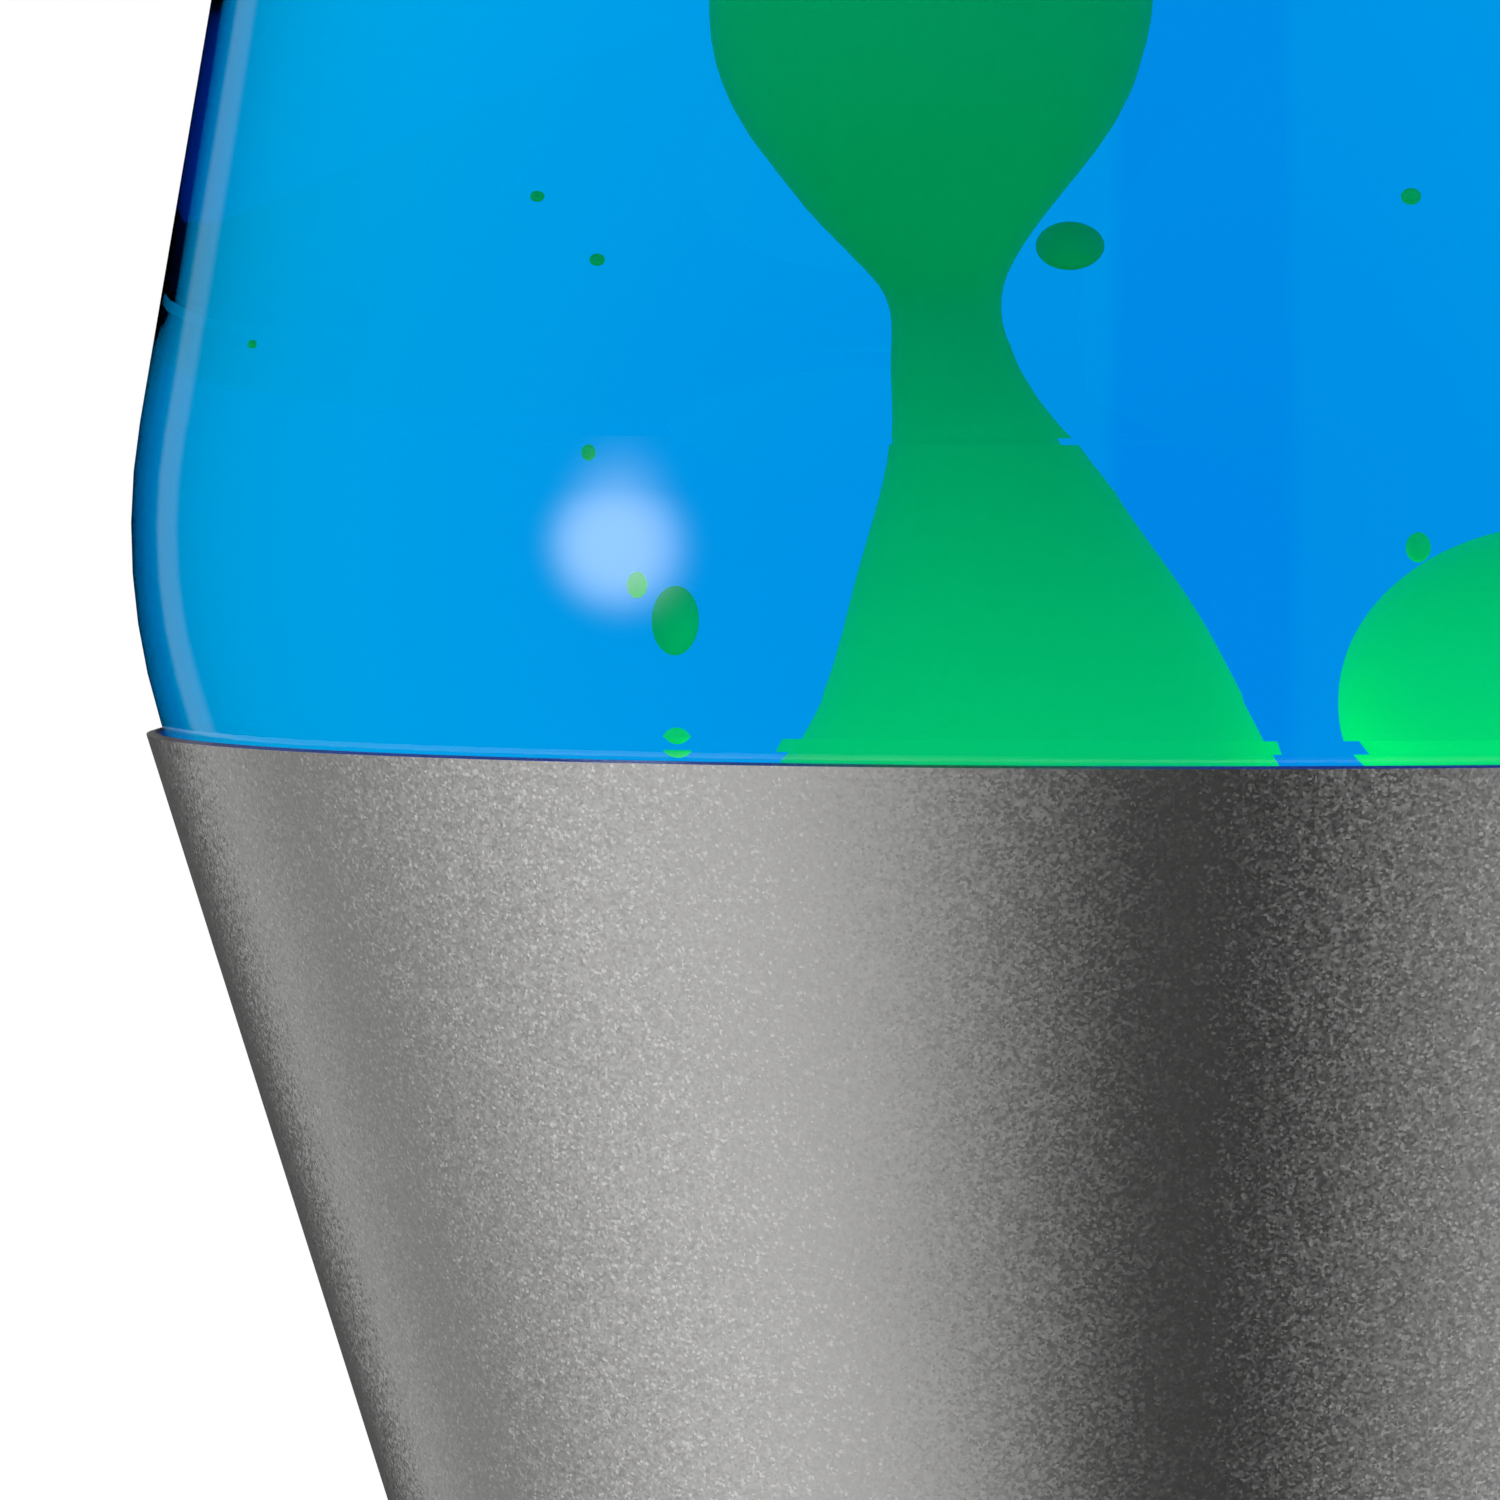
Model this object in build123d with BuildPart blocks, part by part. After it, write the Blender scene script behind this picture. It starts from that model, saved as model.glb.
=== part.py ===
from build123d import *
import os
from math import acos, atan2, cos, degrees, hypot, radians, sin, tan

# Desk lava lamp. Millimetres, +Z up. The origin is on the table, under the lamp's axis,
# and +Y points to the back, where the cord leaves the foot.

os.makedirs("parts", exist_ok=True)

# ---------------------------------------------------------------- overall sizes
lamp_height = 368.0
rim_height = 155.0  # rim of the base cup
rim_radius = 47.0
waist_height = 90.0  # joint of the two base cones
foot_radius = 50.0
foot_gap = 3.0  # rubber feet
cap_height = 54.0

# ---------------------------------------------------------------- spun shells
shell_wall = 0.6
shell_bend = 1.0  # outer radius where a flange turns
edge_round = 0.25
waist_flange = 5.6
foot_flange = 8.0
plate_thick = 1.0
plate_inset = 1.5  # from the foot's edge

# ---------------------------------------------------------------- bulb
bulb_radius = 17.5
bulb_wall = 0.6
bulb_neck = 1.5  # straight glass above the metal cap
bulb_flare = 3.9  # from there up to the round part's underside
bulb_clearance = 3.5  # to the waist opening
bulb_headroom = 15.0  # to the globe
cap_thread_radius = 7.6  # inside the cap's thread grooves
thread_depth = 0.6
thread_pitch = 2.8
thread_turns = 5
cap_wall = 0.35
cap_rise = 2.8  # from the contact to the metal cap
neck_overlap = 3.0  # glass inside the metal cap
bulb_contact_radius = 3.0
bulb_contact_height = 0.9
bulb_contact_round = 0.6
insulator_inside = 1.2  # insulator above the metal cap's lower edge
stem_height = 22.0
stem_radius = 2.6
stem_flare = 6.0  # height of its bell
stem_lip = 0.8
stem_round = 1.0
seal_depth = 6.0  # leads in the stem
seal_spread = 1.2  # of the leads there, from the axis
lead_spread = 5.0
lead_radius = 0.3
lead_rise = 1.0  # straight, above the stem
lead_bend = 1.5
filament_radius = 0.25
filament_bow = 1.6
filament_height = 41.0  # above the contact

# ---------------------------------------------------------------- lampholder
thread_clearance = 0.10
holder_wall = 3.6
holder_floor = 12.0  # from its underside to the bottom of the socket
holder_lip = 1.2  # body above the screw shell
holder_round = 1.2
holder_foot_round = 0.8
socket_depth = 20.0
shell_sheet = 0.4
contact_gap = 0.15
contact_thick = 0.5
contact_length = 11.0
contact_width = 4.4
contact_tail = 4.0  # tube down the wire way
nipple_radius = 5.0
nipple_wall = 1.4
nipple_chamfer = 0.3
nipple_length = 16.0
nipple_engage = 8.0
wire_way_radius = 3.0
strap_thick = 1.2
strap_width = 18.0
strap_half_span = 18.0
strap_foot = 11.0
strap_foot_bend = 0.4
strap_bend = 2.0
nut_thick = 3.0
nut_across_flats = 14.0
washer_thick = 0.8
washer_teeth = 10
tooth_width = 1.4
tooth_length = 0.8  # past the washer's edge
terminal_radius = 1.6
terminal_spread = 5.0  # from the middle
terminal_head_radius = 3.04
terminal_head = 1.6
terminal_head_round = 0.5
terminal_slot_length = 4.4
terminal_slot_width = 0.7
terminal_slot_depth = 0.8

# ---------------------------------------------------------------- fasteners, feet, inlet
rivet_radius = 1.2
rivet_head_radius = 2.2
rivet_head = 0.9
rivet_head_taper = 25
rivet_edge_gap = 0.1  # a head to the waist opening
rivet_count = 3
strap_rivet_radius = 1.6
strap_rivet_head_radius = 3.0
screw_radius = 1.4
screw_head_radius = 2.8
screw_head = 1.7
screw_head_round = 0.7
screw_cross_length = 3.2
screw_cross_width = 0.7
screw_cross_depth = 0.9
screw_length = 6.0
screw_tip = 0.5
screw_count = 3
foot_pad_count = 3
foot_pad_radius = 6.0
foot_pad_round = 0.8
foot_pad_inset = 13.0  # from the foot's edge to a pad's centre
vent_count = 12
vent_width = 3.0
vent_length = 10.0
vent_radius = 31.0
inlet_height = 14.0
inlet_bore = 3.4
inlet_hole = 4.75
inlet_flange = 6.5
inlet_flange_thick = 1.6
inlet_flange_round = 0.6
inlet_keeper = 5.9
inlet_keeper_thick = 2.0

# ---------------------------------------------------------------- globe
glass_wall = 2.5
seat_gap = 0.17  # between glass and cup
globe_depth = 44.0  # globe below the rim
shoulder_rise = 7.2  # where the two glass cones would meet, above the rim
shoulder_round = 28.8
heel_round = 4.0
punt_radius = 14.0
punt_height = 4.0
punt_round = 12.0
heel_ring_radius = 25.0
heel_ring_round = 6.0
crown_inset = 15.5  # from the lamp's top to the crown
crown_height = 6.0
crown_sheet = 0.28
crown_plain = 1.6  # from its top to the flutes
crown_radius = 14.0  # of its plain upper part
crown_round = 1.2
crown_skirt_radius = 16.0
crown_flute = 0.8
crown_flutes = 21
liner_thick = 0.6
finish_radius = 13.3
finish_bead = 4.0
finish_round = 0.7
finish_height = 14.0
neck_cone_radius = 18.6
neck_cone_round = 8.0
neck_radius = 12.4
neck_round = 4.0
neck_slope_height = 5.4
cap_gap = 0.3
cap_top_round = 3.0

# ---------------------------------------------------------------- liquid and wax
film = 0.05  # between the glass and what it holds
air_gap = 18.0  # from the crown to the liquid's surface
pool_depth = 27.0  # from the rim down to the wax pool
coil_wire = 0.5
coil_pitch = 1.8
coil_turns = 3
coil_room = 0.5
blob_radius = 7.65
blob_half_height = 4.75
blob_place = (12.7, 0.0, 4.4)  # x, y and height above the rim
blob_room = 0.3
column_foot = (-6.0, 13.0)  # x of the centre and radius, on the pool
# The column's round sections: height above the rim, x of the centre, radius
column_sections = [
    (-22.0, -6.1, 11.4),
    (-16.0, -6.2, 10.6),
    (-9.0, -6.1, 10.3),
    (-3.0, -5.9, 10.1),
    (2.6, -5.4, 8.5),
    (4.4, -5.3, 7.35),
    (7.0, -5.7, 6.0),
    (9.2, -6.3, 4.65),
    (11.4, -6.9, 3.4),
    (15.7, -8.1, 2.25),
    (17.9, -8.3, 2.1),
    (19.7, -8.7, 2.9),
    (23.1, -8.9, 5.0),
    (27.0, -8.9, 7.0),
    (31.0, -8.8, 7.7),
    (36.0, -8.6, 7.2),
    (40.0, -8.4, 5.6),
    (42.5, -8.3, 3.2),
]
# The loose beads: x, y, height above the rim, radius
droplets = [
    (-3.4, 14.0, 19.8, 1.10),
    (-21.7, 4.3, 22.4, 0.25),
    (-19.8, 3.3, 19.6, 0.28),
    (-31.2, 7.2, 15.6, 0.20),
    (-20.1, 3.3, 11.1, 0.25),
    (-18.5, 2.8, 7.5, 0.35),
    (-15.0, 20.0, 6.7, 0.70),
    (-18.7, -9.0, 2.6, 0.60),
    (7.7, -12.0, 23.0, 0.37),
    (7.9, -9.0, 8.7, 0.45),
]

# ---------------------------------------------------------------- worked-out places
plate_top = foot_gap + plate_thick
waist_opening = bulb_radius + bulb_clearance
waist_radius = waist_opening + waist_flange
cup_taper = atan2(rim_radius - waist_radius, rim_height - waist_height)
foot_taper = atan2(foot_radius - waist_radius, waist_height - plate_top)

seat_radius = rim_radius - (shell_wall + seat_gap) / cos(cup_taper)  # glass radius at the rim
globe_bottom = rim_height - globe_depth
heel_radius = seat_radius - globe_depth * tan(cup_taper)
shoulder_height = rim_height + shoulder_rise
shoulder_radius = seat_radius + shoulder_rise * tan(cup_taper)
crown_top = lamp_height - crown_inset
finish_top = crown_top - crown_sheet - liner_thick
neck_base = finish_top - finish_height
glass_taper = atan2(shoulder_radius - neck_cone_radius, neck_base - shoulder_height)
liquid_top = crown_top - air_gap
pool_top = rim_height - pool_depth

cap_bottom = lamp_height - cap_height


def glass_cone_radius(height):
    """Outer radius of the glass's upper cone."""
    return shoulder_radius - (height - shoulder_height) * tan(glass_taper)


cap_offset = (cap_gap + shell_wall) / cos(glass_taper)
cap_bottom_radius = glass_cone_radius(cap_bottom) + cap_offset
cap_top_radius = glass_cone_radius(lamp_height) + cap_offset

cap_length = (thread_turns + 1) * thread_pitch
bulb_length = cap_rise + cap_length + bulb_neck + bulb_flare + 2 * bulb_radius
bulb_base = globe_bottom - bulb_headroom - bulb_length  # underside of the bulb's contact
holder_bottom = bulb_base - contact_gap - contact_thick - holder_floor
strap_top = holder_bottom
socket_floor = holder_bottom + holder_floor
socket_top = socket_floor + socket_depth
thread_start = bulb_base + cap_rise
socket_radius = cap_thread_radius + thread_depth + thread_clearance + shell_sheet
holder_radius = socket_radius + holder_wall


def export(piece, name):
    """Label a finished piece and write it."""
    piece.part.label = name
    export_step(piece.part, f"parts/{name}.step")


def base_screw_places():
    """Screws through the base plate into the foot's flange."""
    return PolarLocations(foot_radius - shell_bend - foot_flange / 2, screw_count, start_angle=30)


def strap_rivet_places():
    """Rivets through the bracket's two feet."""
    return GridLocations(2 * strap_half_span + strap_foot, 0, 2, 1)


def waist_rivet_places():
    """Rivets through the two flanges at the waist."""
    return PolarLocations(waist_opening + rivet_edge_gap + rivet_head_radius, rivet_count)


# ================================================================ base shells
with BuildPart() as base_cup:
    with BuildSketch(Plane.XZ):
        with BuildLine():
            FilletPolyline(
                (waist_opening, waist_height),
                (waist_radius, waist_height),
                (rim_radius, rim_height),
                radius=[shell_bend],
            )
            offset(amount=shell_wall, side=Side.LEFT)
        make_face()
    revolve(axis=Axis.Z)
    fillet(base_cup.edges().group_by(Axis.Z)[-1], edge_round)
    with BuildSketch(Plane.XY.offset(waist_height)):
        with waist_rivet_places():
            Circle(rivet_radius)
    extrude(amount=shell_wall, mode=Mode.SUBTRACT)
export(base_cup, "base_cup")

inlet_radius = foot_radius - (inlet_height - plate_top) * tan(foot_taper)
inlet_plane = Plane(
    origin=(0, inlet_radius, inlet_height),
    x_dir=(1, 0, 0),
    z_dir=(0, cos(foot_taper), sin(foot_taper)),
)
with BuildPart() as base_foot:
    with BuildSketch(Plane.XZ):
        with BuildLine():
            FilletPolyline(
                (waist_opening, waist_height),
                (waist_radius, waist_height),
                (foot_radius, plate_top),
                (foot_radius - foot_flange, plate_top),
                radius=[shell_bend, shell_bend],
            )
            offset(amount=shell_wall, side=Side.RIGHT)
        make_face()
    revolve(axis=Axis.Z)
    with BuildSketch(Plane.XY.offset(waist_height)):
        with waist_rivet_places():
            Circle(rivet_radius)
    extrude(amount=-shell_wall, mode=Mode.SUBTRACT)
    with BuildSketch(Plane.XY.offset(plate_top)):
        with base_screw_places():
            Circle(screw_radius)
    extrude(amount=shell_wall, mode=Mode.SUBTRACT)
    with BuildSketch(inlet_plane):
        Circle(inlet_hole)
    extrude(amount=4 * shell_wall, both=True, mode=Mode.SUBTRACT)
export(base_foot, "base_foot")

with BuildPart() as waist_rivets:
    with BuildSketch(Plane.XY.offset(waist_height - shell_wall)):
        with waist_rivet_places():
            Circle(rivet_radius)
    extrude(amount=2 * shell_wall)
    with BuildSketch(Plane.XY.offset(waist_height + shell_wall)):
        with waist_rivet_places():
            Circle(rivet_head_radius)
    extrude(amount=rivet_head, taper=rivet_head_taper)
    with BuildSketch(Plane.XY.offset(waist_height - shell_wall)):
        with waist_rivet_places():
            Circle(rivet_head_radius)
    extrude(amount=-rivet_head, taper=rivet_head_taper)
export(waist_rivets, "waist_rivets")

# ================================================================ bottom of the base
with BuildPart() as base_plate:
    with BuildSketch(Plane.XY.offset(foot_gap)):
        Circle(foot_radius - plate_inset)
        with PolarLocations(vent_radius, vent_count, start_angle=15):
            SlotOverall(vent_length, vent_width, mode=Mode.SUBTRACT)
        with base_screw_places():
            Circle(screw_radius, mode=Mode.SUBTRACT)
        with strap_rivet_places():
            Circle(strap_rivet_radius, mode=Mode.SUBTRACT)
    extrude(amount=plate_thick)
export(base_plate, "base_plate")

with BuildPart() as base_plate_screws:
    with BuildSketch(Plane.XY.offset(foot_gap)):
        with base_screw_places():
            Circle(screw_head_radius)
    extrude(amount=-screw_head)
    fillet(base_plate_screws.edges().group_by(Axis.Z)[0], screw_head_round)
    with BuildSketch(Plane.XY.offset(foot_gap)):
        with base_screw_places():
            Circle(screw_radius)
    extrude(amount=screw_length)
    chamfer(base_plate_screws.edges().group_by(Axis.Z)[-1], screw_tip)
    with BuildSketch(Plane.XY.offset(foot_gap - screw_head)):
        with base_screw_places():
            Rectangle(screw_cross_length, screw_cross_width)
            Rectangle(screw_cross_width, screw_cross_length)
    extrude(amount=screw_cross_depth, mode=Mode.SUBTRACT)
export(base_plate_screws, "base_plate_screws")

with BuildPart() as rubber_feet:
    with BuildSketch():
        with PolarLocations(foot_radius - foot_pad_inset, foot_pad_count, start_angle=90):
            Circle(foot_pad_radius)
    extrude(amount=foot_gap)
    fillet(rubber_feet.edges().group_by(Axis.Z)[0], foot_pad_round)
export(rubber_feet, "rubber_feet")

with BuildPart() as cord_grommet:
    with BuildSketch(inlet_plane.offset(-shell_wall)):
        Circle(inlet_flange)
    extrude(amount=shell_wall + inlet_flange_thick)
    fillet(cord_grommet.edges().sort_by(Axis.Y)[-1], inlet_flange_round)
    with BuildSketch(inlet_plane.offset(-shell_wall - inlet_keeper_thick)):
        Circle(inlet_keeper)
    extrude(amount=inlet_keeper_thick)
    with BuildSketch(inlet_plane.offset(-shell_wall - inlet_keeper_thick)):
        Circle(inlet_bore)
    extrude(amount=inlet_keeper_thick + shell_wall + inlet_flange_thick, mode=Mode.SUBTRACT)
    add(base_foot.part, mode=Mode.SUBTRACT)
export(cord_grommet, "cord_grommet")

# ================================================================ bracket and nipple
with BuildPart() as lampholder_bracket:
    with BuildSketch(Plane.XZ):
        with BuildLine():
            FilletPolyline(
                (-strap_half_span - strap_foot, plate_top + strap_thick),
                (-strap_half_span, plate_top + strap_thick),
                (-strap_half_span, strap_top),
                (strap_half_span, strap_top),
                (strap_half_span, plate_top + strap_thick),
                (strap_half_span + strap_foot, plate_top + strap_thick),
                radius=[strap_foot_bend, strap_bend, strap_bend, strap_foot_bend],
            )
            offset(amount=strap_thick, side=Side.RIGHT)
        make_face()
    extrude(amount=strap_width / 2, both=True)
    with BuildSketch(Plane.XY.offset(strap_top)):
        Circle(nipple_radius)
    extrude(amount=-2 * strap_thick, mode=Mode.SUBTRACT)
    with BuildSketch(Plane.XY.offset(plate_top)):
        with strap_rivet_places():
            Circle(strap_rivet_radius)
    extrude(amount=2 * strap_thick, both=True, mode=Mode.SUBTRACT)
export(lampholder_bracket, "lampholder_bracket")

with BuildPart() as bracket_rivets:
    with BuildSketch(Plane.XY.offset(foot_gap)):
        with strap_rivet_places():
            Circle(strap_rivet_radius)
    extrude(amount=plate_thick + strap_thick)
    with BuildSketch(Plane.XY.offset(foot_gap)):
        with strap_rivet_places():
            Circle(strap_rivet_head_radius)
    extrude(amount=-rivet_head, taper=rivet_head_taper)
    with BuildSketch(Plane.XY.offset(plate_top + strap_thick)):
        with strap_rivet_places():
            Circle(strap_rivet_head_radius)
    extrude(amount=rivet_head, taper=rivet_head_taper)
export(bracket_rivets, "bracket_rivets")

nipple_top = strap_top + nipple_engage
with BuildPart() as threaded_nipple:
    with BuildSketch(Plane.XY.offset(nipple_top - nipple_length)):
        Circle(nipple_radius)
        Circle(nipple_radius - nipple_wall, mode=Mode.SUBTRACT)
    extrude(amount=nipple_length)
    chamfer(threaded_nipple.edges().filter_by(GeomType.CIRCLE), nipple_chamfer)
export(threaded_nipple, "threaded_nipple")

with BuildPart() as lock_washer:
    with BuildSketch(Plane.XY.offset(strap_top - strap_thick - washer_thick)):
        Circle(nut_across_flats / 2)
        with PolarLocations(nut_across_flats / 2, washer_teeth):
            Rectangle(2 * tooth_length, tooth_width)
        Circle(nipple_radius, mode=Mode.SUBTRACT)
    extrude(amount=washer_thick)
export(lock_washer, "lock_washer")

with BuildPart() as nipple_locknut:
    with BuildSketch(Plane.XY.offset(strap_top - strap_thick - washer_thick - nut_thick)):
        RegularPolygon(nut_across_flats / 2, 6, major_radius=False)
        Circle(nipple_radius, mode=Mode.SUBTRACT)
    extrude(amount=nut_thick)
export(nipple_locknut, "nipple_locknut")

# ================================================================ lampholder
terminal_height = holder_bottom + holder_floor / 2


def terminal_places():
    """The two terminals on the back of the lampholder."""
    return Locations((-terminal_spread, terminal_height), (terminal_spread, terminal_height))


with BuildPart() as lampholder_body:
    with BuildSketch(Plane.XY.offset(holder_bottom)):
        Circle(holder_radius)
    extrude(amount=holder_floor + socket_depth + holder_lip)
    fillet(lampholder_body.edges().group_by(Axis.Z)[-1], holder_round)
    fillet(lampholder_body.edges().group_by(Axis.Z)[0], holder_foot_round)
    with BuildSketch(Plane.XY.offset(holder_bottom)):
        Circle(nipple_radius)
    extrude(amount=nipple_engage, mode=Mode.SUBTRACT)
    with BuildSketch(Plane.XY.offset(holder_bottom)):
        Circle(wire_way_radius)
    extrude(amount=holder_floor, mode=Mode.SUBTRACT)
    with BuildSketch(Plane.XY.offset(socket_floor)):
        Circle(socket_radius)
    extrude(amount=socket_depth + holder_lip, mode=Mode.SUBTRACT)
    with BuildSketch(Plane.XZ.offset(-holder_radius)):
        with terminal_places():
            Circle(terminal_radius)
    extrude(amount=2 * holder_wall, mode=Mode.SUBTRACT)
export(lampholder_body, "lampholder_body")

with BuildPart() as terminal_screws:
    with BuildSketch(Plane.XZ.offset(-holder_radius)):
        with terminal_places():
            Circle(terminal_head_radius)
    extrude(amount=-terminal_head)
    fillet(terminal_screws.edges().group_by(Axis.Y)[-1], terminal_head_round)
    with BuildSketch(Plane.XZ.offset(-holder_radius)):
        with terminal_places():
            Circle(terminal_radius)
    extrude(amount=2 * holder_wall)
    with BuildSketch(Plane.XZ.offset(-holder_radius - terminal_head)):
        with terminal_places():
            Rectangle(terminal_slot_width, terminal_slot_length)
    extrude(amount=terminal_slot_depth, mode=Mode.SUBTRACT)
    add(lampholder_body.part, mode=Mode.SUBTRACT)
export(terminal_screws, "terminal_screws")


def ridged_sleeve(root, wall, bottom, top):
    """Half section of a thin sleeve with ridges for a thread; root is its inner radius."""
    ridge = [(root + (step % 2) * thread_depth, thread_start + (step / 2 + 0.5) * thread_pitch)
             for step in range(2 * thread_turns + 1)]
    inner = [(root, bottom)] + ridge + [(root, top)]
    outer = [(x + wall, z) for x, z in reversed(inner)]
    Polyline(*inner, *outer, close=True)


with BuildPart() as lampholder_screw_shell:
    with BuildSketch(Plane.XZ):
        with BuildLine():
            ridged_sleeve(cap_thread_radius + thread_clearance, shell_sheet, socket_floor, socket_top)
        make_face()
    revolve(axis=Axis.Z)
export(lampholder_screw_shell, "lampholder_screw_shell")

with BuildPart() as lampholder_contact:
    with BuildSketch(Plane.XY.offset(socket_floor)):
        SlotOverall(contact_length, contact_width)
    extrude(amount=contact_thick)
    with BuildSketch(Plane.XY.offset(socket_floor - contact_tail)):
        Circle(wire_way_radius)
        Circle(wire_way_radius - contact_thick, mode=Mode.SUBTRACT)
    extrude(amount=contact_tail)
export(lampholder_contact, "lampholder_contact")

# ================================================================ bulb
cap_top = thread_start + cap_length
with BuildPart() as bulb_cap:
    with BuildSketch(Plane.XZ):
        with BuildLine():
            ridged_sleeve(cap_thread_radius - cap_wall, cap_wall, thread_start, cap_top)
        make_face()
    revolve(axis=Axis.Z)
export(bulb_cap, "bulb_cap")

bulb_neck_radius = cap_thread_radius - cap_wall
with BuildPart() as bulb_insulator:
    with BuildSketch(Plane.XZ):
        with BuildLine():
            Polyline(
                (0, bulb_base + bulb_contact_height),
                (bulb_contact_radius, bulb_base + bulb_contact_height),
                (bulb_neck_radius, thread_start),
                (bulb_neck_radius, thread_start + insulator_inside),
                (0, thread_start + insulator_inside),
                close=True,
            )
        make_face()
    revolve(axis=Axis.Z)
export(bulb_insulator, "bulb_insulator")

with BuildPart() as bulb_contact:
    with BuildSketch(Plane.XY.offset(bulb_base)):
        Circle(bulb_contact_radius)
    extrude(amount=bulb_contact_height)
    fillet(bulb_contact.edges().group_by(Axis.Z)[0], bulb_contact_round)
export(bulb_contact, "bulb_contact")

bulb_top = bulb_base + bulb_length
bulb_middle = bulb_top - bulb_radius
neck_bottom = cap_top - neck_overlap
neck_top = cap_top + bulb_neck


def bulb_outline():
    """Outer line of the bulb's glass, from the neck to the middle of its top."""
    reach = hypot(bulb_neck_radius, bulb_middle - neck_top)
    turn = acos(bulb_radius / reach) - atan2(bulb_middle - neck_top, bulb_neck_radius)
    side = Line((bulb_neck_radius, neck_bottom), (bulb_neck_radius, neck_top))
    touch = (bulb_radius * cos(turn), bulb_middle + bulb_radius * sin(turn))
    Line(side @ 1, touch)
    CenterArc((0, bulb_middle), bulb_radius, degrees(turn), 90 - degrees(turn))


with BuildPart() as bulb_glass:
    with BuildSketch(Plane.XZ):
        with BuildLine():
            bulb_outline()
            offset(amount=bulb_wall, side=Side.LEFT)
        make_face()
    revolve(axis=Axis.Z)
export(bulb_glass, "bulb_glass")

stem_top = neck_bottom + stem_height
with BuildPart() as bulb_stem:
    with BuildSketch(Plane.XZ):
        with BuildLine():
            flare = Polyline(
                (0, neck_bottom + stem_lip),
                (stem_radius, neck_bottom + stem_lip),
                (bulb_neck_radius - bulb_wall, neck_bottom),
                (bulb_neck_radius - bulb_wall, neck_bottom + stem_lip),
            )
            bell = Spline(flare @ 1, (stem_radius, neck_bottom + stem_flare), tangents=[(-1, 0.3), (0, 1)])
            Polyline(bell @ 1, (stem_radius, stem_top), (0, stem_top), flare @ 0)
        make_face()
    revolve(axis=Axis.Z)
    fillet(bulb_stem.edges().group_by(Axis.Z)[-1], stem_round)
    with BuildSketch(Plane.XY.offset(stem_top - seal_depth)):
        with GridLocations(2 * seal_spread, 0, 2, 1):
            Circle(lead_radius)
    extrude(amount=seal_depth, mode=Mode.SUBTRACT)
export(bulb_stem, "bulb_stem")

filament_place = bulb_base + filament_height
with BuildPart() as bulb_lead_wires:
    for hand in (-1, 1):
        with BuildLine() as lead:
            Polyline(
                (hand * seal_spread, 0, stem_top - seal_depth),
                (hand * seal_spread, 0, stem_top + lead_rise),
                (hand * lead_spread, 0, filament_place),
            )
            fillet(lead.vertices().sort_by(Axis.Z)[1], lead_bend)
        with BuildSketch(Plane.XY.offset(stem_top - seal_depth)):
            with Locations((hand * seal_spread, 0)):
                Circle(lead_radius)
        sweep(path=lead.line)
export(bulb_lead_wires, "bulb_lead_wires")

with BuildPart() as bulb_filament:
    with BuildLine() as arch:
        ThreePointArc(
            (-lead_spread, 0, filament_place),
            (0, filament_bow, filament_place),
            (lead_spread, 0, filament_place),
        )
    with BuildSketch(Plane(origin=arch.line @ 0, z_dir=arch.line % 0)):
        Circle(filament_radius)
    sweep(path=arch.line)
    add(bulb_lead_wires.part, mode=Mode.SUBTRACT)
export(bulb_filament, "bulb_filament")


# ================================================================ globe
def bottle_line():
    """Outer line of the glass, from the middle of its pushed-up bottom to the mouth."""
    FilletPolyline(
        (0, globe_bottom + punt_height),
        (punt_radius, globe_bottom + punt_height),
        (heel_ring_radius, globe_bottom),
        (heel_radius, globe_bottom),
        (shoulder_radius, shoulder_height),
        (neck_cone_radius, neck_base),
        (neck_radius, neck_base + neck_slope_height),
        (neck_radius, finish_top),
        radius=[punt_round, heel_ring_round, heel_round, shoulder_round, neck_cone_round, neck_round],
    )


with BuildPart() as globe_glass:
    with BuildSketch(Plane.XZ):
        with BuildLine():
            bottle_line()
            offset(amount=glass_wall, side=Side.LEFT)
        make_face()
    revolve(axis=Axis.Z)
    with BuildSketch(Plane.XY.offset(finish_top - finish_bead)):
        Circle(finish_radius)
        Circle(neck_radius, mode=Mode.SUBTRACT)
    extrude(amount=finish_bead)
    bead = globe_glass.edges().filter_by(GeomType.CIRCLE).filter_by(
        lambda e: abs(e.radius - finish_radius) < 0.01
    )
    fillet(bead, finish_round)
export(globe_glass, "globe_glass")

crown_bottom = crown_top - crown_height
crown_shoulder = crown_top - crown_plain


def crown_skirt(inset):
    """The two ends of the crown's fluted skirt, moved inwards by inset."""
    points = []
    for step in range(2 * crown_flutes):
        angle = radians(180 * step / crown_flutes)
        reach = crown_skirt_radius - inset - (step % 2) * crown_flute
        points.append((reach * cos(angle), reach * sin(angle)))
    with BuildSketch(Plane.XY.offset(crown_bottom)) as flutes:
        with BuildLine():
            Spline(*points, periodic=True)
        make_face()
    with BuildSketch(Plane.XY.offset(crown_shoulder)) as shoulder:
        Circle(crown_radius - inset)
    return [flutes.sketch.face(), shoulder.sketch.face()]


with BuildPart() as crown_cap:
    loft(crown_skirt(0))
    loft(crown_skirt(crown_sheet), mode=Mode.SUBTRACT)
    with BuildSketch(Plane.XZ):
        with BuildLine():
            FilletPolyline(
                (0, crown_top),
                (crown_radius, crown_top),
                (crown_radius, crown_shoulder),
                radius=[crown_round],
            )
            offset(amount=crown_sheet, side=Side.RIGHT)
        make_face()
    revolve(axis=Axis.Z)
export(crown_cap, "crown_cap")

with BuildPart() as crown_liner:
    with BuildSketch(Plane.XY.offset(finish_top)):
        Circle(crown_radius - crown_round)
    extrude(amount=liner_thick)
export(crown_liner, "crown_liner")

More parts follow.
